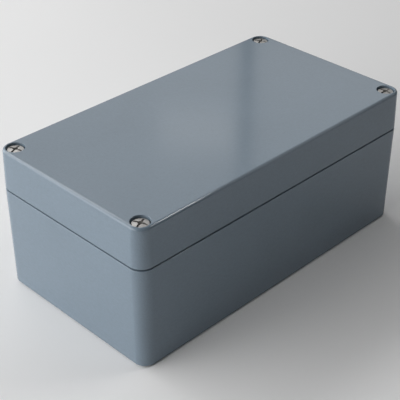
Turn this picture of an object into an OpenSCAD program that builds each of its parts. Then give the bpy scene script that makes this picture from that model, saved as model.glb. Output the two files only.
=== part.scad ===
// Moulded polyester junction box: a deep base, a flat lid with a seal in a
// groove, and four captive lid screws that run in brass inserts.
// Origin: middle of the underside. X runs along the length, Y across, Z up.

/* [Body] */
// Length over the outer walls, at the seam
body_l = 220; // [200:1:300]
// Width over the outer walls, at the seam
body_w = 120; // [110:1:200]
// Height of the base, up to its outer rim
base_h = 65; // [50:1:120]
// Height of the lid, from its outer rim to its top
lid_h = 25; // [24:1:40]
// Open seam between the rims of base and lid
seam = 1; // [0.6:0.1:1.4]
// Outer corner radius, at the seam
corner_r = 8.4; // [7.6:0.1:9.6]
// Lean of each outer wall, from the seam to the far face
draft = 0.6; // [0.1:0.1:1]
// Rounding of the base's lower edge
foot_r = 1.5; // [0.8:0.1:2]
// Rounding of the lid's top edge
top_r = 1.7; // [0.8:0.1:2]
// Rounding of the two rims at the seam
rim_r = 0.4; // [0.2:0.1:0.5]

/* [Walls] */
// Thickness of the side walls
wall = 5; // [4.6:0.1:5.8]
// Thickness of the base's floor
floor_t = 5; // [4:0.5:7]
// Thickness of the lid's roof
roof_t = 4; // [3:0.5:5]
// Rounding between floor and walls, and between roof and lid walls
cove_r = 2.4; // [1:0.2:2.4]

/* [Seal] */
// Thickness of the base's sealing tongue
tongue_t = 2.4; // [2:0.1:2.5]
// Rise of the tongue over the base's rim
tongue_h = 3.5; // [2.5:0.5:4]
// Clearance of the tongue in the lid's groove, on each side
groove_gap = 0.6; // [0.4:0.1:0.7]
// Height of the gasket strip
gasket_h = 4.5; // [3:0.5:5]
// Thickness of the lid's inner flange
flange_t = 2.4; // [2:0.1:2.4]

/* [Lid screws] */
// Distance of each screw's axis from the outer walls
screw_inset = 8; // [7.8:0.1:8.2]
// Diameter of the screw recess in the lid
recess_d = 11; // [10.8:0.1:11.6]
// Depth of the screw recess, down to the head's seat
recess_h = 5.3; // [4.8:0.1:6]
// Diameter of the screw head
head_d = 9.5; // [9:0.1:10]
// Height of the head's straight rim
head_rim = 4.05; // [3.4:0.05:4.1]
// Rise of the head's crown over its rim
head_crown = 0.4; // [0.2:0.05:0.6]
// Diameter of the screw's threaded end
thread_d = 5.9; // [5.6:0.1:5.9]
// Length of the threaded end
thread_l = 8; // [6:0.5:9]
// Diameter of the waist between head and thread
waist_d = 4.6; // [4.2:0.1:4.8]
// Travel of the screw, from tight to free of its insert
screw_rise = 9; // [7:0.5:9]
// Turn of the cross recess: front left, front right, rear left, rear right
cross_turn = [21, -2, 20, 22]; // [-45:1:45]

/* [Wall fixing] */
// Distance of each fixing hole from its lid screw, across the box
fix_step = 11; // [10.8:0.1:11.2]
// Diameter of the fixing hole
fix_d = 6.5; // [5.5:0.1:6.6]
// Diameter of the well over the fixing hole
well_d = 10.5; // [10:0.1:10.6]
// Height of the seat at the bottom of the well
well_seat = 12; // [8:1:16]

/* [Inside] */
// Distance of the plate inserts from the end walls' outer faces
plate_in_x = 26; // [26:1:50]
// Distance of the plate inserts from the side walls' outer faces
plate_in_y = 16; // [14:1:30]
// Distance of the rail inserts from the end walls' outer faces
rail_in = 15; // [14:1:40]
// Diameter of the floor bosses
boss_d = 10; // [9:0.5:11]
// Rise of the floor bosses over the floor
boss_h = 8; // [6:1:10]
// Tapping diameter of the floor inserts
tap_d = 3.3; // [2.5:0.1:4.2]

/* [Hidden] */
$fn = 64;

grey = "#7f8b93";
steel = "#b9b6b0";
brass = "#b5924c";
black = "#2b2d2f";
white = "#d9d7cf";

// Levels
lid_z = base_h + seam;              // lid's rim, and the land of the base that carries it
top_z = lid_z + lid_h;              // lid's top
tongue_z = base_h + tongue_h;       // top of the sealing tongue
groove_z = tongue_z + gasket_h;     // roof of the lid's groove
seat_z = top_z - recess_h;          // seat of the screw heads
thread_z = base_h + 0.6;            // upper end of the screws' threads
ring_z = lid_z + 0.2;               // underside of the retaining rings
ring_h = 2;
pocket_z = ring_z + ring_h + screw_rise + 0.6;  // roof of the ring pockets
insert_z = base_h + 0.5;            // top of the pillar inserts
insert_l = 13;

// Plan of the room inside: a rectangle with a notch at each corner for a pillar
bay_x = body_l / 2 - wall;
bay_y = body_w / 2 - wall;
notch_x = body_l / 2 - 18;
notch_y = body_w / 2 - 28.5;
bay_rv = 6;                         // corners that point outwards
bay_rc = 6;                         // corners that point inwards
arc_n = 8;

screw_x = body_l / 2 - screw_inset;
screw_y = body_w / 2 - screw_inset;
fix_y = screw_y - fix_step;
plate_x = body_l / 2 - plate_in_x;
plate_y = body_w / 2 - plate_in_y;
rail_x = body_l / 2 - rail_in;
pocket_d = 9.4;
ring_d = 9;

function arc(c, r, a, b, n) = [for (i = [0:n]) let (t = a + (b - a) * i / n) [c[0] + r * cos(t), c[1] + r * sin(t)]];
function flip(p, sx, sy) = [for (q = p) [q[0] * sx, q[1] * sy]];
function back(p) = [for (i = [len(p) - 1:-1:0]) p[i]];
function four(q) = concat(q, back(flip(q, -1, 1)), flip(q, -1, -1), back(flip(q, 1, -1)));

// Outer plan, set in by d from its size at the seam
function shell_plan(d) = four(arc([body_l / 2 - corner_r, body_w / 2 - corner_r], corner_r - d, 0, 90, 12));

// Plan of the room inside, grown outwards by d
function bay_plan(d) = four(concat(
    arc([bay_x - bay_rv, notch_y - bay_rv], bay_rv + d, 0, 90, arc_n),
    arc([notch_x + bay_rc, notch_y + bay_rc], bay_rc - d, 270, 180, arc_n),
    arc([notch_x - bay_rv, bay_y - bay_rv], bay_rv + d, 0, 90, arc_n)));

// Closed skin through plans of equal length, each as [plan, height], from the lowest to the
// highest. The end caps fan out from the Z axis, so a notched plan is capped without overlap.
module loft(rings) {
    n = len(rings[0][0]);
    m = len(rings);
    polyhedron(
        points = concat([for (r = rings) for (p = r[0]) [p[0], p[1], r[1]]], [[0, 0, rings[0][1]], [0, 0, rings[m - 1][1]]]),
        faces = concat(
            [for (i = [0:n - 1]) [i, (i + 1) % n, m * n]],
            [for (k = [0:m - 2]) for (i = [0:n - 1]) let (j = (i + 1) % n) [k * n + i, (k + 1) * n + i, (k + 1) * n + j, k * n + j]],
            [for (i = [0:n - 1]) [(m - 1) * n + (i + 1) % n, (m - 1) * n + i, m * n + 1]]));
}

// A ring-shaped strip along the room's outline, between two distances from it
module strip(inner, outer, h) {
    linear_extrude(h) difference() {
        polygon(bay_plan(outer));
        polygon(bay_plan(inner));
    }
}

module at_corners() {
    for (sx = [-1, 1]) for (sy = [-1, 1]) translate([sx * screw_x, sy * screw_y, 0]) children();
}

module at_fixings() {
    for (sx = [-1, 1]) for (sy = [-1, 1]) translate([sx * screw_x, sy * fix_y, 0]) children();
}

module at_bosses() {
    for (sx = [-1, 1]) {
        for (sy = [-1, 1]) translate([sx * plate_x, sy * plate_y, 0]) children();
        translate([sx * rail_x, 0, 0]) children();
    }
}

// Round boss with a coved foot, on the floor
module boss() {
    rotate_extrude() polygon(concat(
        [[0, floor_t - 1], [boss_d / 2 + 1.5, floor_t - 1]],
        [for (a = [0:15:90]) [boss_d / 2 + 1.5 - 1.5 * sin(a), floor_t + 1.5 - 1.5 * cos(a)]],
        [[boss_d / 2, floor_t + boss_h - 0.5], [boss_d / 2 - 0.5, floor_t + boss_h], [0, floor_t + boss_h]]));
}

module base_skin() {
    lean = draft / base_h;
    loft(concat(
        [for (a = [0:15:90]) let (z = foot_r * (1 - cos(a))) [shell_plan(foot_r * (1 - sin(a)) + draft - lean * z), z]],
        [for (a = [0:30:90]) let (z = base_h - rim_r * (1 - sin(a))) [shell_plan(rim_r * (1 - cos(a)) + draft - lean * z), z]]));
}

module base_room() {
    loft(concat(
        [for (a = [0:15:90]) [bay_plan(-0.5 - cove_r * (1 - sin(a))), floor_t + cove_r * (1 - cos(a))]],
        [[bay_plan(0), tongue_z - 0.4], [bay_plan(1.4), tongue_z + 1]]));
}

module base() {
    color(grey) difference() {
        union() {
            difference() {
                union() {
                    base_skin();
                    loft([[bay_plan(tongue_t), base_h - 2], [bay_plan(tongue_t), tongue_z - 0.4], [bay_plan(tongue_t - 0.4), tongue_z]]);
                    translate([0, 0, base_h - 2]) linear_extrude(seam + 2) polygon(shell_plan(2.2));
                }
                base_room();
            }
            at_bosses() boss();
        }
        at_corners() {
            translate([0, 0, insert_z - insert_l]) cylinder(d = 9, h = insert_l + 1.5);
            translate([0, 0, insert_z - insert_l - 5]) cylinder(d = 6.6, h = 6);
        }
        at_fixings() {
            translate([0, 0, -1]) cylinder(d = fix_d, h = well_seat + 2);
            translate([0, 0, well_seat]) cylinder(d = well_d, h = lid_z + 1 - well_seat);
            translate([0, 0, -0.01]) cylinder(d1 = fix_d + 1, d2 = fix_d, h = 0.5);
        }
        at_bosses() translate([0, 0, floor_t]) cylinder(d = 6, h = boss_h + 1);
    }
}

module lid_skin() {
    lean = draft / lid_h;
    loft(concat(
        [for (a = [0:30:90]) let (z = rim_r * (1 - cos(a))) [shell_plan(rim_r * (1 - sin(a)) + lean * z), lid_z + z]],
        [for (a = [0:15:90]) let (z = lid_h - top_r * (1 - sin(a))) [shell_plan(top_r * (1 - cos(a)) + lean * z), lid_z + z]]));
}

module lid_room() {
    in = groove_gap + flange_t;
    loft(concat(
        [[bay_plan(-in + 1.4), lid_z - 1], [bay_plan(-in), lid_z + 0.4]],
        [for (a = [0:15:90]) [bay_plan(-in - 0.3 - cove_r * (1 - cos(a))), top_z - roof_t - cove_r * (1 - sin(a))]]));
}

module lid() {
    color(grey) difference() {
        lid_skin();
        lid_room();
        translate([0, 0, lid_z - 2]) strip(-groove_gap, tongue_t + groove_gap, groove_z - lid_z + 2);
        at_corners() {
            translate([0, 0, seat_z]) cylinder(d = recess_d, h = recess_h + 1);
            translate([0, 0, top_z - 0.3]) cylinder(d1 = recess_d, d2 = recess_d + 0.8, h = 0.4);
            translate([0, 0, lid_z - 1]) cylinder(d = 6.6, h = lid_h + 2);
            translate([0, 0, lid_z - 1]) cylinder(d = pocket_d, h = pocket_z - lid_z + 1);
        }
        at_fixings() translate([0, 0, lid_z - 1]) cylinder(d = well_d, h = 14 + 1);
    }
}

module gasket() {
    color(black) translate([0, 0, tongue_z]) strip(-groove_gap, tongue_t + groove_gap, gasket_h);
}

// Captive screw: slightly crowned head with a long cross recess, waisted shank, thread at the tip
module lid_screw(turn) {
    rim_z = seat_z + head_rim;
    crown_r = (head_d * head_d / 4 + head_crown * head_crown) / (2 * head_crown);
    crown_a = asin(head_d / 2 / crown_r);
    color(steel) difference() {
        rotate_extrude() polygon(concat(
            [[0, thread_z - thread_l], [thread_d / 2 - 0.8, thread_z - thread_l], [thread_d / 2, thread_z - thread_l + 0.8],
             [thread_d / 2, thread_z - 0.5], [waist_d / 2, thread_z], [waist_d / 2, seat_z],
             [head_d / 2, seat_z]],
            [for (i = [0:6]) let (a = crown_a * (1 - i / 6)) [crown_r * sin(a), rim_z + head_crown - crown_r * (1 - cos(a))]]));
        rotate([0, 0, turn]) for (a = [0, 90]) rotate([0, 0, a])
            translate([-4.1, -0.6, rim_z + head_crown - 1.7]) cube([8.2, 1.2, 3]);
        translate([0, 0, rim_z + head_crown - 2.6]) cylinder(d1 = 1.2, d2 = 3, h = 2.7);
    }
}

module screw_ring() {
    color(white) translate([0, 0, ring_z]) difference() {
        cylinder(d = ring_d, h = ring_h);
        translate([0, 0, -1]) cylinder(d = waist_d + 0.2, h = ring_h + 2);
    }
}

// Turned insert with two bands and a groove between them, held in its moulding
module insert(d, bore, z0, z1) {
    g = (z1 - z0) * 0.12;
    m = (z0 + z1) / 2;
    color(brass) difference() {
        rotate_extrude() polygon([[0, z0], [d / 2 - 0.4, z0], [d / 2, z0 + 0.4], [d / 2, m - g], [d / 2 - 0.5, m - g + 0.3],
            [d / 2 - 0.5, m + g - 0.3], [d / 2, m + g], [d / 2, z1], [0, z1]]);
        translate([0, 0, z0 - 1]) cylinder(d = bore, h = z1 - z0 + 2);
        translate([0, 0, z1 - 0.4]) cylinder(d1 = bore, d2 = bore + 1, h = 0.5);
    }
}

module corner(sx, sy) { translate([sx * screw_x, sy * screw_y, 0]) children(); }
module pillar_insert() { insert(9, 6, insert_z - insert_l, insert_z); }
module floor_insert() { insert(6, tap_d, floor_t, floor_t + boss_h); }

module lid_screw_front_left() { corner(-1, -1) lid_screw(cross_turn[0]); }
module lid_screw_front_right() { corner(1, -1) lid_screw(cross_turn[1]); }
module lid_screw_rear_left() { corner(-1, 1) lid_screw(cross_turn[2]); }
module lid_screw_rear_right() { corner(1, 1) lid_screw(cross_turn[3]); }
module screw_ring_front_left() { corner(-1, -1) screw_ring(); }
module screw_ring_front_right() { corner(1, -1) screw_ring(); }
module screw_ring_rear_left() { corner(-1, 1) screw_ring(); }
module screw_ring_rear_right() { corner(1, 1) screw_ring(); }
module pillar_insert_front_left() { corner(-1, -1) pillar_insert(); }
module pillar_insert_front_right() { corner(1, -1) pillar_insert(); }
module pillar_insert_rear_left() { corner(-1, 1) pillar_insert(); }
module pillar_insert_rear_right() { corner(1, 1) pillar_insert(); }
module plate_insert_front_left() { translate([-plate_x, -plate_y, 0]) floor_insert(); }
module plate_insert_front_right() { translate([plate_x, -plate_y, 0]) floor_insert(); }
module plate_insert_rear_left() { translate([-plate_x, plate_y, 0]) floor_insert(); }
module plate_insert_rear_right() { translate([plate_x, plate_y, 0]) floor_insert(); }
module rail_insert_left() { translate([-rail_x, 0, 0]) floor_insert(); }
module rail_insert_right() { translate([rail_x, 0, 0]) floor_insert(); }

base();
lid();
gasket();
lid_screw_front_left();
lid_screw_front_right();
lid_screw_rear_left();
lid_screw_rear_right();
screw_ring_front_left();
screw_ring_front_right();
screw_ring_rear_left();
screw_ring_rear_right();
pillar_insert_front_left();
pillar_insert_front_right();
pillar_insert_rear_left();
pillar_insert_rear_right();
plate_insert_front_left();
plate_insert_front_right();
plate_insert_rear_left();
plate_insert_rear_right();
rail_insert_left();
rail_insert_right();
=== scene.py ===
import math

import bmesh
import bpy
import numpy as np
from mathutils import Matrix, Vector, Quaternion


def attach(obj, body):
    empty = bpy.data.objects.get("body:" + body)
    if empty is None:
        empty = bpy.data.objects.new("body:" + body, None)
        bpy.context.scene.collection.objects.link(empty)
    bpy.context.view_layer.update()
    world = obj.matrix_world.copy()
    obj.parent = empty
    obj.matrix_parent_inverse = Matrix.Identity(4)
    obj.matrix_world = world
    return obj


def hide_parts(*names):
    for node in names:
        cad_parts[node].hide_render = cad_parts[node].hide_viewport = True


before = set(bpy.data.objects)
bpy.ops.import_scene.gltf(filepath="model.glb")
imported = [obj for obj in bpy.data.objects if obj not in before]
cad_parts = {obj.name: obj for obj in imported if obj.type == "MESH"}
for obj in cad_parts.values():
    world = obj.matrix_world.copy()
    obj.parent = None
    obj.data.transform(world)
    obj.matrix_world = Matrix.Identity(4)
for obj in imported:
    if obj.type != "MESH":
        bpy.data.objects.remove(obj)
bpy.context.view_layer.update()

# ---------------------------------------------------------------------------
# Sizes, in millimetres, in the part's own frame: X length, Y width, Z up
# ---------------------------------------------------------------------------
LEN, WID = 220.0, 120.0
BASE_H, LID_Z, TOP_Z = 65.0, 66.0, 91.0
CORNER, DRAFT, FOOT_R, TOP_R, RIM_R = 8.4, 0.6, 1.5, 1.7, 0.4
FLOOR, ROOF, COVE = 5.0, 4.0, 2.4
BAY_X, BAY_Y, NOTCH_X, NOTCH_Y, BAY_R = 105.0, 55.0, 92.0, 31.5, 6.0
TONGUE, TONGUE_Z, GROOVE_Z, GAP, FLANGE = 2.4, 68.5, 73.0, 0.6, 2.4
SCREW_X, SCREW_Y, FIX_Y = 102.0, 52.0, 41.0
SEAT_Z, HEAD_R, RIM_Z, CROWN_Z = 85.7, 4.75, 89.75, 90.15
POCKET_Z, WELL_R, WELL_SEAT, FIX_R = 77.8, 5.25, 12.0, 3.25
CORNERS = {"front_left": (-1, -1), "front_right": (1, -1), "rear_left": (-1, 1), "rear_right": (1, 1)}
CROSS_TURN = {"front_left": 21.0, "front_right": -2.0, "rear_left": 20.0, "rear_right": 22.0}


# ---------------------------------------------------------------------------
# Mesh tools. Everything is built in millimetres and scaled to metres at the end.
# ---------------------------------------------------------------------------
def arc(cx, cy, r, a, b, n):
    t = np.radians(np.linspace(a, b, n + 1))
    return np.c_[cx + r * np.cos(t), cy + r * np.sin(t)]


def four(q):
    return np.concatenate([q, (q * [-1, 1])[::-1], q * [-1, -1], (q * [1, -1])[::-1]])


def shell_plan(d):
    """Outer outline, set in by d from its size at the seam."""
    return four(arc(LEN / 2 - CORNER, WID / 2 - CORNER, CORNER - d, 0, 90, 20))


def bay_plan(d):
    """Outline of the room inside, grown outwards by d."""
    return four(np.concatenate([
        arc(BAY_X - BAY_R, NOTCH_Y - BAY_R, BAY_R + d, 0, 90, 12),
        arc(NOTCH_X + BAY_R, NOTCH_Y + BAY_R, BAY_R - d, 270, 180, 12),
        arc(NOTCH_X - BAY_R, BAY_Y - BAY_R, BAY_R + d, 0, 90, 12)]))


def quarter(c, r, a, b, n):
    """Points (u, v) on an arc around c, in degrees."""
    t = np.radians(np.linspace(a, b, n + 1))
    return [(c[0] + r * math.cos(x), c[1] + r * math.sin(x)) for x in t]


def link(name, verts, faces):
    me = bpy.data.meshes.new(name)
    me.from_pydata([tuple(map(float, v)) for v in verts], [], [tuple(map(int, f)) for f in faces])
    me.validate()
    ob = bpy.data.objects.new(name, me)
    bpy.context.scene.collection.objects.link(ob)
    return ob


def loft(rings):
    """Closed skin through outlines of equal length, each with its height, capped at both ends."""
    n, m = len(rings[0][0]), len(rings)
    verts = np.concatenate([np.c_[p, np.full(n, z)] for p, z in rings])
    faces = [tuple(range(n - 1, -1, -1))]
    for k in range(m - 1):
        for i in range(n):
            j = (i + 1) % n
            faces.append((k * n + i, k * n + j, (k + 1) * n + j, (k + 1) * n + i))
    faces.append(tuple(range((m - 1) * n, m * n)))
    return verts, faces


def hoop(section):
    """Endless strip along the room's outline. section: closed list of (distance from the outline, height), anticlockwise seen along the strip."""
    n = len(bay_plan(0))
    verts = np.concatenate([np.c_[bay_plan(d), np.full(n, z)] for d, z in section])
    m = len(section)
    faces = []
    for k in range(m):
        for i in range(n):
            j, q = (i + 1) % n, (k + 1) % m
            faces.append((k * n + i, k * n + j, q * n + j, q * n + i))
    return verts, faces


def lathe(profile, n=64, at=(0, 0)):
    """Closed turned shape. profile: (radius, height) from the axis at the bottom to the axis at the top."""
    turn = np.linspace(0, 2 * math.pi, n, endpoint=False)
    verts, rows = [], []
    for r, z in profile:
        if r < 1e-9:
            rows.append([len(verts)] * n)
            verts.append((at[0], at[1], z))
        else:
            rows.append(list(range(len(verts), len(verts) + n)))
            verts += [(at[0] + r * math.cos(t), at[1] + r * math.sin(t), z) for t in turn]
    faces = []
    for a, b in zip(rows, rows[1:]):
        for i in range(n):
            j = (i + 1) % n
            f = [a[i], a[j], b[j], b[i]]
            f = [v for k, v in enumerate(f) if v != f[k - 1]]
            if len(f) > 2:
                faces.append(tuple(f))
    return np.array(verts, float), faces


def turned(loops, n):
    """Closed ring-shaped body: for each angle a closed loop of (radius, height) points, all of equal length."""
    verts, m = [], len(loops[0])
    for k, loop in enumerate(loops):
        t = 2 * math.pi * k / n
        verts += [(r * math.cos(t), r * math.sin(t), z) for r, z in loop]
    faces = []
    for k in range(n):
        q = (k + 1) % n
        for i in range(m):
            j = (i + 1) % m
            faces.append((k * m + i, q * m + i, q * m + j, k * m + j))
    return np.array(verts, float), faces


def joined(parts):
    verts, faces, base = [], [], 0
    for v, f in parts:
        verts.append(np.asarray(v, float))
        faces += [tuple(i + base for i in x) for x in f]
        base += len(v)
    return np.concatenate(verts), faces


def combine(ob, part, how):
    """Exact union or difference of a mesh with a closed part."""
    tool = link("tool", *part)
    mod = ob.modifiers.new("combine", "BOOLEAN")
    mod.operation, mod.solver, mod.object = how, "EXACT", tool
    dg = bpy.context.evaluated_depsgraph_get()
    me = bpy.data.meshes.new_from_object(ob.evaluated_get(dg))
    ob.modifiers.clear()
    old, ob.data = ob.data, me
    bpy.data.meshes.remove(old)
    old = tool.data
    bpy.data.objects.remove(tool)
    bpy.data.meshes.remove(old)
    return ob


def smooth_moulding(ob, flat_mm2=6.0, angle=36.0):
    """Normals for a moulding: flat faces stay flat, and every rounding runs into them without a crease."""
    me = ob.data
    bm = bmesh.new()
    bm.from_mesh(me)
    bmesh.ops.remove_doubles(bm, verts=bm.verts, dist=0.0005)
    bm.to_mesh(me)
    bm.free()
    nv, nf, nl = len(me.vertices), len(me.polygons), len(me.loops)
    normal, area = np.zeros(nf * 3), np.zeros(nf)
    me.polygons.foreach_get("normal", normal)
    me.polygons.foreach_get("area", area)
    normal = normal.reshape(-1, 3)
    start, total = np.zeros(nf, int), np.zeros(nf, int)
    me.polygons.foreach_get("loop_start", start)
    me.polygons.foreach_get("loop_total", total)
    vert = np.zeros(nl, int)
    me.loops.foreach_get("vertex_index", vert)
    face = np.repeat(np.arange(nf), total)
    around = [[] for _ in range(nv)]
    for f, v in zip(face, vert):
        around[v].append(f)
    # coplanar neighbours grow into flat fields
    field = np.full(nf, -1)
    edge_faces = {}
    for f in range(nf):
        vs = vert[start[f]:start[f] + total[f]]
        for a, b in zip(vs, np.roll(vs, -1)):
            edge_faces.setdefault((min(a, b), max(a, b)), []).append(f)
    near = [[] for _ in range(nf)]
    for fs in edge_faces.values():
        if len(fs) == 2 and normal[fs[0]] @ normal[fs[1]] > 0.999995:
            near[fs[0]].append(fs[1])
            near[fs[1]].append(fs[0])
    flat = np.zeros(nf, bool)
    done = 0
    for f in range(nf):
        if field[f] >= 0:
            continue
        field[f], stack, members = done, [f], []
        while stack:
            g = stack.pop()
            members.append(g)
            for h in near[g]:
                if field[h] < 0:
                    field[h] = done
                    stack.append(h)
        if area[members].sum() > flat_mm2 and len(members) + total[members].sum() > 5:
            flat[members] = True
        done += 1
    # long narrow bands of a rounding are planar too, but they belong to the rounding
    co = np.zeros(nv * 3)
    me.vertices.foreach_get("co", co)
    co = co.reshape(-1, 3)
    for f in np.flatnonzero(flat):
        if total[f] == 4 and len(near[f]) == 0:
            vs = co[vert[start[f]:start[f] + 4]]
            side = np.linalg.norm(vs - np.roll(vs, -1, 0), axis=1)
            if min(side) < 2.0:
                flat[f] = False
    limit = math.cos(math.radians(angle))
    out = np.zeros((nl, 3))
    for i in range(nl):
        f = face[i]
        if flat[f]:
            out[i] = normal[f]
            continue
        best, total_n = None, np.zeros(3)
        for g in around[vert[i]]:
            if normal[g] @ normal[f] > limit:
                if flat[g] and (best is None or area[g] > area[best]):
                    best = g
                total_n += normal[g] * area[g]
        out[i] = normal[best] if best is not None else total_n / max(np.linalg.norm(total_n), 1e-12)
    me.polygons.foreach_set("use_smooth", np.ones(nf, bool))
    # many-sided faces become well-shaped triangles, and each corner keeps its normal
    bm = bmesh.new()
    bm.from_mesh(me)
    layer = bm.loops.layers.float_vector.new("corner_normal")
    corners = iter(out)
    for f in bm.faces:
        for corner in f.loops:
            corner[layer] = next(corners)
    bmesh.ops.triangulate(bm, faces=[f for f in bm.faces if len(f.verts) > 4], ngon_method="BEAUTY")
    bm.to_mesh(me)
    bm.free()
    out = np.zeros(len(me.loops) * 3)
    me.attributes["corner_normal"].data.foreach_get("vector", out)
    me.attributes.remove(me.attributes["corner_normal"])
    me.normals_split_custom_set([tuple(map(float, n)) for n in out.reshape(-1, 3)])


def smooth_turned(ob, angle=35.0):
    me = ob.data
    me.polygons.foreach_set("use_smooth", np.ones(len(me.polygons), bool))
    me.set_sharp_from_angle(angle=math.radians(angle))


def settle(ob, node, body, material, at=(0, 0)):
    """To metres, in place, riding on its body and standing for its CAD node."""
    ob.data.transform(Matrix.Scale(0.001, 4))
    ob.location = (at[0] * 0.001, at[1] * 0.001, 0)
    ob.data.materials.clear()
    ob.data.materials.append(material)
    ob.data.update()
    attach(ob, body)
    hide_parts(node)
    return ob


# ---------------------------------------------------------------------------
# Materials
# ---------------------------------------------------------------------------
class Nodes:
    """A material's node tree, with a short way to add and link nodes."""

    def __init__(self, name):
        self.mat = bpy.data.materials.new(name)
        self.mat.use_nodes = True
        self.tree = self.mat.node_tree
        self.tree.nodes.clear()
        self.out = self.tree.nodes.new("ShaderNodeOutputMaterial")
        self.bsdf = self.tree.nodes.new("ShaderNodeBsdfPrincipled")
        self.tree.links.new(self.bsdf.outputs[0], self.out.inputs[0])
        self.coord = self.tree.nodes.new("ShaderNodeTexCoord").outputs["Object"]

    def link(self, a, b):
        self.tree.links.new(a, b)

    def scaled(self, scale, turn=(0, 0, 0), vector=None):
        n = self.tree.nodes.new("ShaderNodeMapping")
        n.inputs["Scale"].default_value = scale
        n.inputs["Rotation"].default_value = turn
        self.link(vector or self.coord, n.inputs["Vector"])
        return n.outputs[0]

    def noise(self, scale, detail=2.0, rough=0.5, vector=None, distortion=0.0):
        n = self.tree.nodes.new("ShaderNodeTexNoise")
        n.inputs["Scale"].default_value = scale
        n.inputs["Detail"].default_value = detail
        n.inputs["Roughness"].default_value = rough
        n.inputs["Distortion"].default_value = distortion
        self.link(vector or self.coord, n.inputs["Vector"])
        return n.outputs["Fac"]

    def cells(self, scale, vector=None, feature="F1"):
        n = self.tree.nodes.new("ShaderNodeTexVoronoi")
        n.feature = feature
        n.inputs["Scale"].default_value = scale
        self.link(vector or self.coord, n.inputs["Vector"])
        return n.outputs["Distance"]

    def spread(self, fac, a, b, lo, hi):
        n = self.tree.nodes.new("ShaderNodeMapRange")
        for k, v in (("From Min", a), ("From Max", b), ("To Min", lo), ("To Max", hi)):
            n.inputs[k].default_value = v
        self.link(fac, n.inputs["Value"])
        return n.outputs[0]

    def maths(self, how, a, b):
        n = self.tree.nodes.new("ShaderNodeMath")
        n.operation = how
        for k, v in enumerate((a, b)):
            if isinstance(v, (int, float)):
                n.inputs[k].default_value = v
            else:
                self.link(v, n.inputs[k])
        return n.outputs[0]

    def ramp(self, fac, *stops):
        n = self.tree.nodes.new("ShaderNodeValToRGB")
        e = n.color_ramp.elements
        while len(e) < len(stops):
            e.new(0.5)
        for x, (at, c) in zip(e, stops):
            x.position = at
            x.color = (*c, 1)
        self.link(fac, n.inputs[0])
        return n.outputs[0]

    def bump(self, height, strength, distance, normal=None):
        n = self.tree.nodes.new("ShaderNodeBump")
        n.inputs["Strength"].default_value = strength
        n.inputs["Distance"].default_value = distance
        self.link(height, n.inputs["Height"])
        if normal is not None:
            self.link(normal, n.inputs["Normal"])
        return n.outputs[0]

    def radius(self):
        n = self.tree.nodes.new("ShaderNodeVectorMath")
        n.operation = "LENGTH"
        flat = self.tree.nodes.new("ShaderNodeVectorMath")
        flat.operation = "MULTIPLY"
        flat.inputs[1].default_value = (1, 1, 0)
        self.link(self.coord, flat.inputs[0])
        self.link(flat.outputs[0], n.inputs[0])
        return n.outputs["Value"]

    def height(self):
        n = self.tree.nodes.new("ShaderNodeSeparateXYZ")
        self.link(self.coord, n.inputs[0])
        return n.outputs["Z"]

    def dimmed(self, color, fac):
        n = self.tree.nodes.new("ShaderNodeVectorMath")
        n.operation = "SCALE"
        self.link(color, n.inputs[0])
        self.link(fac, n.inputs["Scale"])
        return n.outputs[0]

    def finish(self, color, roughness, normal=None, **values):
        self.link(color, self.bsdf.inputs["Base Color"])
        self.link(roughness, self.bsdf.inputs["Roughness"])
        if normal is not None:
            self.link(normal, self.bsdf.inputs["Normal"])
        for k, v in values.items():
            self.bsdf.inputs[k.replace("_", " ")].default_value = v
        return self.mat


def polyester(name, tint=1.0):
    """Pressed glass-fibre polyester: a satin skin, faint flow clouds, short fibres just under the surface and a slight orange peel."""
    n = Nodes(name)
    clouds = n.noise(14, 4, 0.55, distortion=0.6)
    fibre_a = n.noise(1.0, 2, 0.6, n.scaled((2600, 420, 900), (0.3, 0.2, 0.5)))
    fibre_b = n.noise(1.0, 2, 0.6, n.scaled((420, 2600, 1100), (0.1, 0.4, -0.4)))
    specks = n.cells(620)
    mix = n.maths("ADD", n.spread(clouds, 0.3, 0.7, -0.2, 0.2), n.maths("ADD", n.spread(fibre_a, 0.3, 0.7, 0.0, 0.5), n.spread(fibre_b, 0.3, 0.7, 0.0, 0.5)))
    mix = n.maths("ADD", mix, n.spread(specks, 0.0, 0.10, -0.06, 0.0))
    low, mid, high = (0.1677, 0.2154, 0.2617), (0.1794, 0.2305, 0.2799), (0.1911, 0.2456, 0.2982)
    color = n.ramp(mix, (0.0, tuple(tint * c for c in low)), (0.5, tuple(tint * c for c in mid)), (1.0, tuple(tint * c for c in high)))
    rough = n.maths("ADD", n.spread(clouds, 0.3, 0.7, 0.12, 0.14), n.spread(fibre_a, 0.2, 0.8, -0.01, 0.01))
    peel = n.noise(520, 2, 0.5)
    skin = n.bump(peel, 0.03, 0.0003)
    skin = n.bump(n.maths("ADD", fibre_a, fibre_b), 0.02, 0.00005, skin)
    return n.finish(color, rough, skin, IOR=1.46)


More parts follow.
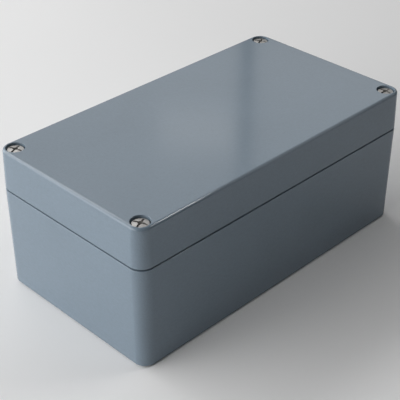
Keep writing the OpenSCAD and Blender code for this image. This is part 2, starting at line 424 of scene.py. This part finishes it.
def stainless(name):
    """Turned stainless steel: fine rings around the axis, a little stain and dulling, and painted shade darkening the
    cross recess toward its floor.
    """
    n = Nodes(name)
    r = n.radius()
    ring = n.tree.nodes.new("ShaderNodeTexNoise")
    ring.noise_dimensions = "1D"
    ring.inputs["Scale"].default_value = 5200
    ring.inputs["Detail"].default_value = 3
    n.link(r, ring.inputs["W"])
    rings = ring.outputs["Fac"]
    stain = n.noise(420, 4, 0.6)
    grain = n.noise(3800, 2, 0.5)
    color = n.ramp(stain, (0.3, (0.390, 0.380, 0.366)), (0.55, (0.460, 0.451, 0.437)), (0.8, (0.507, 0.499, 0.486)))
    # painted shade: the colour inside the cross recess is darkened toward its floor, in place of the shade that falls
    # there
    z = n.height()
    painted_recess_shade = n.maths("MULTIPLY", n.spread(z, 0.0862, 0.0870, 0, 1), n.spread(z, 0.0887, 0.0898, 1, 0))
    painted_recess_shade = n.maths("MULTIPLY", painted_recess_shade, n.spread(r, 0.0043, 0.00455, 1, 0))
    painted_recess_shade = n.maths("MULTIPLY", painted_recess_shade, n.spread(stain, 0.3, 0.7, 0.85, 1.0))
    # painted shade applied here: the recess colour is dimmed by up to 15%
    color = n.dimmed(color, n.spread(painted_recess_shade, 0, 1, 1.0, 0.85))
    rough = n.maths("ADD", n.spread(stain, 0.3, 0.7, 0.44, 0.54), n.spread(grain, 0.3, 0.7, -0.04, 0.04))
    skin = n.bump(rings, 0.25, 0.00004)
    skin = n.bump(grain, 0.2, 0.00003, skin)
    return n.finish(color, rough, skin, Metallic=1.0)


def brass(name):
    """Turned brass: fine turning rings, slightly tarnished."""
    n = Nodes(name)
    ring = n.tree.nodes.new("ShaderNodeTexNoise")
    ring.noise_dimensions = "1D"
    ring.inputs["Scale"].default_value = 4300
    ring.inputs["Detail"].default_value = 2
    n.link(n.radius(), ring.inputs["W"])
    stain = n.noise(700, 3, 0.6)
    color = n.ramp(stain, (0.25, (0.47, 0.31, 0.12)), (0.6, (0.66, 0.47, 0.20)), (0.85, (0.74, 0.56, 0.27)))
    rough = n.spread(stain, 0.3, 0.7, 0.36, 0.24)
    return n.finish(color, rough, n.bump(ring.outputs["Fac"], 0.25, 0.00004), Metallic=1.0)


def sponge(name):
    """Black sponge rubber: a matt skin with open pores."""
    n = Nodes(name)
    pores = n.cells(2100)
    fine = n.noise(1500, 3, 0.6)
    color = n.ramp(n.maths("ADD", n.spread(pores, 0.0, 0.45, 0.0, 0.6), n.spread(fine, 0.3, 0.7, 0.0, 0.4)),
                   (0.1, (0.006, 0.006, 0.0065)), (0.6, (0.020, 0.020, 0.021)), (1.0, (0.034, 0.034, 0.036)))
    rough = n.spread(fine, 0.3, 0.7, 0.78, 0.92)
    skin = n.bump(n.spread(pores, 0.0, 0.35, 0.0, 1.0), 0.5, 0.0002)
    return n.finish(color, rough, skin, Specular_IOR_Level=0.3)


def polyamide(name):
    """Natural polyamide: off-white, waxy, with faint moulding swirls."""
    n = Nodes(name)
    swirl = n.noise(480, 3, 0.5, distortion=1.5)
    color = n.ramp(swirl, (0.3, (0.62, 0.60, 0.53)), (0.7, (0.74, 0.72, 0.66)))
    rough = n.spread(swirl, 0.3, 0.7, 0.42, 0.52)
    return n.finish(color, rough, n.bump(n.noise(1900, 2), 0.1, 0.00004), Subsurface_Weight=0.12, Subsurface_Scale=0.002)


mat_base, mat_lid = polyester("polyester_base"), polyester("polyester_lid")
mat_steel, mat_brass, mat_sponge, mat_nylon = stainless("turned_stainless"), brass("turned_brass"), sponge("sponge_rubber"), polyamide("natural_polyamide")


# ---------------------------------------------------------------------------
# Base
# ---------------------------------------------------------------------------
def base_moulding():
    lean = DRAFT / BASE_H
    rings = [(shell_plan(FOOT_R * (1 - math.sin(a)) + DRAFT - lean * FOOT_R * (1 - math.cos(a))), FOOT_R * (1 - math.cos(a))) for a in np.radians(np.arange(0, 91, 10))]
    rings += [(shell_plan(RIM_R * (1 - math.cos(a)) + DRAFT - lean * (BASE_H - RIM_R * (1 - math.sin(a)))), BASE_H - RIM_R * (1 - math.sin(a))) for a in np.radians(np.arange(0, 91, 15))]
    rings += [(shell_plan(u), v) for u, v in quarter((1.95, BASE_H + 0.25), 0.25, -90, 0, 3)]
    rings += [(shell_plan(u), v) for u, v in quarter((2.45, LID_Z - 0.25), 0.25, 180, 90, 3)]
    ob = link("base_shell", *loft(rings))
    tongue = [(bay_plan(TONGUE), BASE_H - 2.5)] + [(bay_plan(TONGUE - 0.4 + u), TONGUE_Z - 0.4 + v) for u, v in quarter((0, 0), 0.4, 0, 90, 4)]
    combine(ob, loft(tongue), "UNION")
    room = [(bay_plan(-0.5 - COVE * (1 - math.sin(a))), FLOOR + COVE * (1 - math.cos(a))) for a in np.radians(np.arange(0, 91, 10))]
    room += [(bay_plan(0.4 - u), TONGUE_Z - 0.4 + v) for u, v in quarter((0, 0), 0.4, 0, 90, 4)] + [(bay_plan(0.45), TONGUE_Z + 1.5)]
    combine(ob, loft(room), "DIFFERENCE")
    bosses = []
    for x, y in [(sx * 84, sy * 44) for sx in (-1, 1) for sy in (-1, 1)] + [(-95, 0), (95, 0)]:
        profile = [(0, FLOOR - 1.5), (6.5, FLOOR - 1.5)] + quarter((6.5, FLOOR + 1.5), 1.5, 270, 180, 6) + quarter((4.6, FLOOR + 7.6), 0.4, 0, 90, 4) + [(0, FLOOR + 8)]
        bosses.append(lathe(profile, 48, (x, y)))
    combine(ob, joined(bosses), "UNION")
    holes = []
    for sx, sy in CORNERS.values():
        pocket = [(0, 47.5), (3.3, 47.5), (3.3, 52.5), (4.5, 52.5)] + quarter((4.9, LID_Z - 0.4), 0.4, 180, 90, 4) + [(4.9, LID_Z + 1.4), (0, LID_Z + 1.4)]
        holes.append(lathe(pocket, 56, (sx * SCREW_X, sy * SCREW_Y)))
        well = [(0, -1), (FIX_R + 0.4, -1)] + quarter((FIX_R + 0.4, 0.4), 0.4, 270, 180, 4)
        well += quarter((FIX_R + 0.3, WELL_SEAT - 0.3), 0.3, 180, 90, 3) + quarter((WELL_R - 0.5, WELL_SEAT + 0.5), 0.5, 270, 360, 4)
        well += quarter((WELL_R + 0.5, LID_Z - 0.5), 0.5, 180, 90, 4) + [(WELL_R + 0.5, LID_Z + 1.4), (0, LID_Z + 1.4)]
        holes.append(lathe(well, 56, (sx * SCREW_X, sy * FIX_Y)))
    for x, y in [(sx * 84, sy * 44) for sx in (-1, 1) for sy in (-1, 1)] + [(-95, 0), (95, 0)]:
        holes.append(lathe([(0, FLOOR), (3.0, FLOOR), (3.0, FLOOR + 7.7), (3.3, FLOOR + 8.0), (3.3, FLOOR + 9), (0, FLOOR + 9)], 40, (x, y)))
    combine(ob, joined(holes), "DIFFERENCE")
    smooth_moulding(ob)
    return settle(ob, "base", "base", mat_base)


# ---------------------------------------------------------------------------
# Lid
# ---------------------------------------------------------------------------
def lid_moulding():
    height = TOP_Z - LID_Z
    lean = DRAFT / height
    rings = [(shell_plan(RIM_R * (1 - math.sin(a)) + lean * RIM_R * (1 - math.cos(a))), LID_Z + RIM_R * (1 - math.cos(a))) for a in np.radians(np.arange(0, 91, 15))]
    rings += [(shell_plan(TOP_R * (1 - math.cos(a)) + lean * (height - TOP_R * (1 - math.sin(a)))), TOP_Z - TOP_R * (1 - math.sin(a))) for a in np.radians(np.arange(0, 91, 7.5))]
    ob = link("lid_shell", *loft(rings))
    inset = GAP + FLANGE
    room = [(bay_plan(-inset + 0.4), LID_Z - 1.5)] + [(bay_plan(-inset + 0.4 * (1 - math.sin(a))), LID_Z + 0.4 * (1 - math.cos(a))) for a in np.radians(np.arange(0, 91, 22.5))]
    room += [(bay_plan(-inset - 0.3 - COVE * (1 - math.cos(a))), TOP_Z - ROOF - COVE * (1 - math.sin(a))) for a in np.radians(np.arange(0, 91, 10))]
    combine(ob, loft(room), "DIFFERENCE")
    lo, hi = -GAP, TONGUE + GAP
    groove = [(lo - 0.3, LID_Z - 1.5), (hi + 0.3, LID_Z - 1.5)] + [(hi + 0.3 * (1 - math.sin(a)), LID_Z + 0.3 * (1 - math.cos(a))) for a in np.radians((0, 30, 60, 90))] + \
        [(hi, GROOVE_Z - 0.3), (hi - 0.3, GROOVE_Z), (lo + 0.3, GROOVE_Z), (lo, GROOVE_Z - 0.3)] + [(lo - 0.3 * (1 - math.sin(a)), LID_Z + 0.3 * (1 - math.cos(a))) for a in np.radians((90, 60, 30, 0))]
    combine(ob, hoop(groove), "DIFFERENCE")
    holes = []
    for sx, sy in CORNERS.values():
        p = [(0, LID_Z - 1.4), (5.1, LID_Z - 1.4)] + quarter((5.1, LID_Z + 0.4), 0.4, 270, 180, 4)
        p += quarter((4.7 - 0.4, POCKET_Z - 0.4), 0.4, 0, 90, 3) + [(3.3, POCKET_Z)]
        p += quarter((3.3 + 0.3, SEAT_Z - 0.3), 0.3, 180, 90, 3) + quarter((5.5 - 0.35, SEAT_Z + 0.35), 0.35, 270, 360, 4)
        p += quarter((5.5 + 0.22, TOP_Z - 0.22), 0.22, 180, 90, 5) + [(5.72, TOP_Z + 1.5), (0, TOP_Z + 1.5)]
        holes.append(lathe(p, 72, (sx * SCREW_X, sy * SCREW_Y)))
        w = [(0, LID_Z - 1.4), (WELL_R + 0.4, LID_Z - 1.4)] + quarter((WELL_R + 0.4, LID_Z + 0.4), 0.4, 270, 180, 4) + quarter((WELL_R - 0.8, LID_Z + 13.2), 0.8, 0, 90, 4) + [(0, LID_Z + 14)]
        holes.append(lathe(w, 56, (sx * SCREW_X, sy * FIX_Y)))
    combine(ob, joined(holes), "DIFFERENCE")
    smooth_moulding(ob)
    return settle(ob, "lid", "lid", mat_lid)


# ---------------------------------------------------------------------------
# Seal, screws, rings and inserts
# ---------------------------------------------------------------------------
def seal_strip():
    """Foamed-in strip with soft corners and the dent that the base's tongue leaves in it."""
    lo, hi, z0, z1 = -GAP + 0.04, TONGUE + GAP - 0.04, TONGUE_Z, GROOVE_Z - 0.04
    mid, half = (lo + hi) / 2, (hi - lo) / 2
    s = [(lo + 0.5 + 0.5 * math.cos(a), z0 + 0.5 + 0.5 * math.sin(a)) for a in np.radians((180, 210, 240, 270))]
    s += [(mid + half * 0.58 * k, z0 + 0.32 * (1 - abs(k) ** 2.2)) for k in np.linspace(-1, 1, 9)]
    s += [(hi - 0.5 + 0.5 * math.cos(a), z0 + 0.5 + 0.5 * math.sin(a)) for a in np.radians((270, 300, 330, 360))]
    s += [(hi, z1 - 0.25), (hi - 0.25, z1), (lo + 0.25, z1), (lo, z1 - 0.25)]
    ob = link("seal_strip", *hoop(s))
    smooth_turned(ob, 50)
    return settle(ob, "gasket", "lid", mat_sponge)


def helix(r_in, r_out, z0, z1, pitch, width, n=30):
    """Thread ridge: a three-sided strip wound around the axis, run out at both ends."""
    steps = int((z1 - z0) / pitch * n)
    verts, faces = [], []
    for k in range(steps + 1):
        t = 2 * math.pi * k / n
        z = z0 + pitch * k / n
        fade = min(1.0, k / (0.6 * n), (steps - k) / (0.6 * n))
        r = r_in + (r_out - r_in) * max(fade, 0.02)
        for rr, dz in ((r_in - 0.12, -width / 2), (r - 0.02, -width * 0.08), (r - 0.02, width * 0.08), (r_in - 0.12, width / 2)):
            verts.append((rr * math.cos(t), rr * math.sin(t), z + dz))
    for k in range(steps):
        for i in range(4):
            j = (i + 1) % 4
            faces.append((4 * k + i, 4 * (k + 1) + i, 4 * (k + 1) + j, 4 * k + j))
    faces.append((0, 1, 2, 3))
    faces.append(tuple(4 * steps + i for i in (3, 2, 1, 0)))
    return np.array(verts), faces


def lid_screw(corner):
    """Captive screw: slightly crowned head with a long cross recess, slim waist, rolled thread at the tip."""
    rise = CROWN_Z - RIM_Z
    crown_r = (HEAD_R ** 2 + rise ** 2) / (2 * rise)
    edge = 0.28
    top = math.asin((HEAD_R - edge) / crown_r)
    p = [(0, 57.6), (1.55, 57.6), (2.05, 57.95), (2.45, 58.4), (2.45, 65.1), (2.3, 65.6), (2.3, SEAT_Z - 0.35)]
    p += quarter((2.65, SEAT_Z - 0.35), 0.35, 180, 90, 3) + [(HEAD_R - 0.25, SEAT_Z), (HEAD_R, SEAT_Z + 0.25)]
    rim = CROWN_Z - crown_r * (1 - math.cos(top))
    p += [(HEAD_R - edge + edge * math.cos(a), rim - edge + edge * math.sin(a)) for a in np.radians((0, 18, 36, 54, 72))]
    p += [(crown_r * math.sin(a), CROWN_Z - crown_r * (1 - math.cos(a))) for a in np.linspace(top, 0, 10)]
    p[-1] = (0, CROWN_Z)
    ob = link("screw_" + corner, *lathe(p, 72))
    for arm in (0, 90):
        a = math.radians(CROSS_TURN[corner] + arm)
        u, v = np.array([math.cos(a), math.sin(a)]), np.array([-math.sin(a), math.cos(a)])
        # an arm's floor rises from the centre to its two ends
        side = [(-1.0, -1.9), (1.0, -1.9), (3.95, -0.75), (4.2, 0.6), (-4.2, 0.6), (-3.95, -0.75)]
        m = len(side)
        verts = [(*(u * l + v * w), CROWN_Z + z) for w in (-0.6, 0.6) for l, z in side]
        faces = [tuple(range(m)), tuple(range(2 * m - 1, m - 1, -1))] + [(i, i + m, (i + 1) % m + m, (i + 1) % m) for i in range(m)]
        combine(ob, (np.array(verts), faces), "DIFFERENCE")
    combine(ob, lathe([(0, CROWN_Z - 2.6), (0.5, CROWN_Z - 2.5), (1.5, CROWN_Z + 0.1), (1.5, CROWN_Z + 0.6), (0, CROWN_Z + 0.6)], 32), "DIFFERENCE")
    combine(ob, helix(2.45, 2.95, 58.5, 65.0, 1.0, 0.86), "UNION")
    bm = bmesh.new()
    bm.from_mesh(ob.data)
    bmesh.ops.remove_doubles(bm, verts=[v for v in bm.verts if v.co.z < 66], dist=0.0005)
    bmesh.ops.triangulate(bm, faces=[f for f in bm.faces if len(f.verts) > 4 and f.calc_center_median().z < 66], ngon_method="BEAUTY")
    bm.to_mesh(ob.data)
    bm.free()
    smooth_turned(ob, 32)
    sx, sy = CORNERS[corner]
    return settle(ob, "lid_screw_" + corner, "screw_" + corner, mat_steel, (sx * SCREW_X, sy * SCREW_Y))


def retaining_ring(corner):
    """Slit ring that snaps onto the screw's waist."""
    z0, z1, r0, r1, n = 66.2, 68.2, 2.42, 4.46, 60
    gap = math.radians(9)
    loop = [(r0 + 0.3, z0), (r1 - 0.3, z0), (r1 - 0.09, z0 + 0.09), (r1, z0 + 0.3), (r1, z1 - 0.3), (r1 - 0.09, z1 - 0.09), (r1 - 0.3, z1), (r0 + 0.3, z1), (r0, z1 - 0.3), (r0, z0 + 0.3)]
    verts, faces, m = [], [], len(loop)
    for k in range(n + 1):
        t = math.radians(200) + gap + (2 * math.pi - 2 * gap) * k / n
        verts += [(r * math.cos(t), r * math.sin(t), z) for r, z in loop]
    for k in range(n):
        for i in range(m):
            j = (i + 1) % m
            faces.append((k * m + i, k * m + m + i, k * m + m + j, k * m + j))
    faces.append(tuple(range(m)))
    faces.append(tuple(range(n * m + m - 1, n * m - 1, -1)))
    ob = link("ring_" + corner, verts, faces)
    smooth_turned(ob, 40)
    sx, sy = CORNERS[corner]
    return settle(ob, "screw_ring_" + corner, "ring_" + corner, mat_nylon, (sx * SCREW_X, sy * SCREW_Y))


def insert(name, node, d, bore, z0, z1, pitch, at):
    """Turned insert: two knurled bands, a groove between them, a countersunk and threaded bore."""
    n, teeth = 72, 24
    R, r, h = d / 2 - 0.03, bore / 2, z1 - z0
    mid, g = (z0 + z1) / 2, h * 0.12
    zs = np.arange(z1 - 0.45, z0 + 0.3, -pitch / 8)
    loops = []
    for k in range(n):
        t = k / n
        k_in = 0.05 * d * (0.5 - abs((t * teeth) % 1 - 0.5)) * 1.2
        q = [(r + 0.5, z0), (R - 0.45, z0), (R - k_in, z0 + 0.45), (R - k_in, mid - g), (R - 0.55, mid - g + 0.25), (R - 0.55, mid + g - 0.25), (R - k_in, mid + g), (R - k_in, z1 - 0.9),
             (R - 0.02, z1 - 0.75), (R - 0.02, z1 - 0.15), (R - 0.15, z1), (r + 0.5, z1)]
        for z in zs:
            wave = abs(((z / pitch - t) % 1) - 0.5) * 2
            q.append((r + 0.42 * pitch * (1 - wave) if z < z1 - 0.45 - 1e-6 else r + 0.1, z))
        q.append((r + 0.1, z0 + 0.25))
        loops.append(q)
    ob = link(name, *turned(loops, n))
    smooth_turned(ob, 35)
    return settle(ob, node, "base", mat_brass, at)


base_moulding()
lid_moulding()
seal_strip()
for c, (sx, sy) in CORNERS.items():
    lid_screw(c)
    retaining_ring(c)
    insert("pillar_nut_" + c, "pillar_insert_" + c, 9, 6, 52.5, 65.5, 1.0, (sx * SCREW_X, sy * SCREW_Y))
    insert("plate_nut_" + c, "plate_insert_" + c, 6, 3.3, 5, 13, 0.7, (sx * 84, sy * 44))
insert("rail_nut_left", "rail_insert_left", 6, 3.3, 5, 13, 0.7, (-95, 0))
insert("rail_nut_right", "rail_insert_right", 6, 3.3, 5, 13, 0.7, (95, 0))


# ---------------------------------------------------------------------------
# Floor, light and camera
# ---------------------------------------------------------------------------
def floor():
    n = Nodes("pale_floor")
    cloud = n.noise(3, 2)
    n.finish(n.ramp(cloud, (0.3, (0.86, 0.86, 0.86)), (0.7, (0.88, 0.88, 0.88))), n.spread(cloud, 0.3, 0.7, 0.85, 0.9), Specular_IOR_Level=0.1)
    ob = link("floor", [(-4, -4, -0.0003), (4, -4, -0.0003), (4, 4, -0.0003), (-4, 4, -0.0003)], [(0, 1, 2, 3)])
    ob.data.materials.append(n.mat)


def softbox(name, at, aim, size, radiance, roll=0.0):
    data = bpy.data.lights.new(name, "AREA")
    data.shape, data.size, data.size_y = "RECTANGLE", size[0], size[1]
    data.energy = radiance * math.pi * size[0] * size[1]
    ob = bpy.data.objects.new(name, data)
    bpy.context.scene.collection.objects.link(ob)
    ob.location = at
    ob.rotation_mode = "QUATERNION"
    ob.rotation_quaternion = (Vector(aim) - Vector(at)).to_track_quat("-Z", "Y") @ Quaternion((0, 0, 1), math.radians(roll))
    ob.visible_camera = False
    return ob


floor()
softbox("key_back", (-0.706, 1.623, 0.95), (0, 0, 0.95), (1.54, 1.8), 3.35)
softbox("key_left", (-1.643, 0.784, 0.95), (0, 0, 0.95), (1.15, 1.8), 3.87)
softbox("side", (-1.89, -0.10, 0.85), (0, -0.10, 0.85), (0.735, 1.6), 2.92)
softbox("panel_front", (1.0, -0.61, 0.97), (0.0, -0.61, 0.97), (1.35, 0.55), 1.077, 34)
softbox("strip_right", (0.257, -0.202, 0.544), (0.0, -0.202, 0.544), (0.26, 0.08), 14.6)
softbox("strip_back", (0.20, 1.02, 1.17), (0.0, 0.0, 0.09), (1.0, 0.35), 4.2)
# two upright panels behind the part, with a narrow gap between them
gap, along, facing = Vector((0.720, 0.6236, 0.682)), Vector((-0.6717, 0.7408, 0)), Vector((-0.7408, -0.6717, 0))
for name, side, width, radiance in (("panel_left", 1, 0.8, 1.024), ("panel_right", -1, 0.8, 1.044)):
    at = gap + along * side * (0.009 + width / 2)
    softbox(name, at, at + facing, (width, 0.475), radiance)
at = gap + along * 0.078 + facing * 0.022 + Vector((0, 0, -0.057))
softbox("glow", at, at + facing, (0.12, 0.075), 0.628)
world = bpy.data.worlds.new("studio")
bpy.context.scene.world = world
world.use_nodes = True
world.node_tree.nodes["Background"].inputs[0].default_value = (1, 1, 1, 1)
world.node_tree.nodes["Background"].inputs[1].default_value = 0.005

view = bpy.context.scene.view_settings
view.view_transform, view.look, view.exposure, view.gamma = "Standard", "None", 0.0, 1.0

cam_data = bpy.data.cameras.new("camera")
cam_data.lens, cam_data.sensor_width, cam_data.sensor_fit = 95.2388, 36.0, "HORIZONTAL"
cam_data.clip_start, cam_data.clip_end = 0.01, 50
cam = bpy.data.objects.new("camera", cam_data)
bpy.context.scene.collection.objects.link(cam)
right = Vector((0.70710678, -0.70710678, 0))
up = Vector((0.38540772, 0.38540772, 0.83840431))
ahead = Vector((0.59284137, 0.59284137, -0.54504882))
cam.matrix_world = Matrix.Translation((-0.39142573, -0.38371968, 0.38914211)) @ Matrix((right, up, -ahead)).transposed().to_4x4()
bpy.context.scene.camera = cam
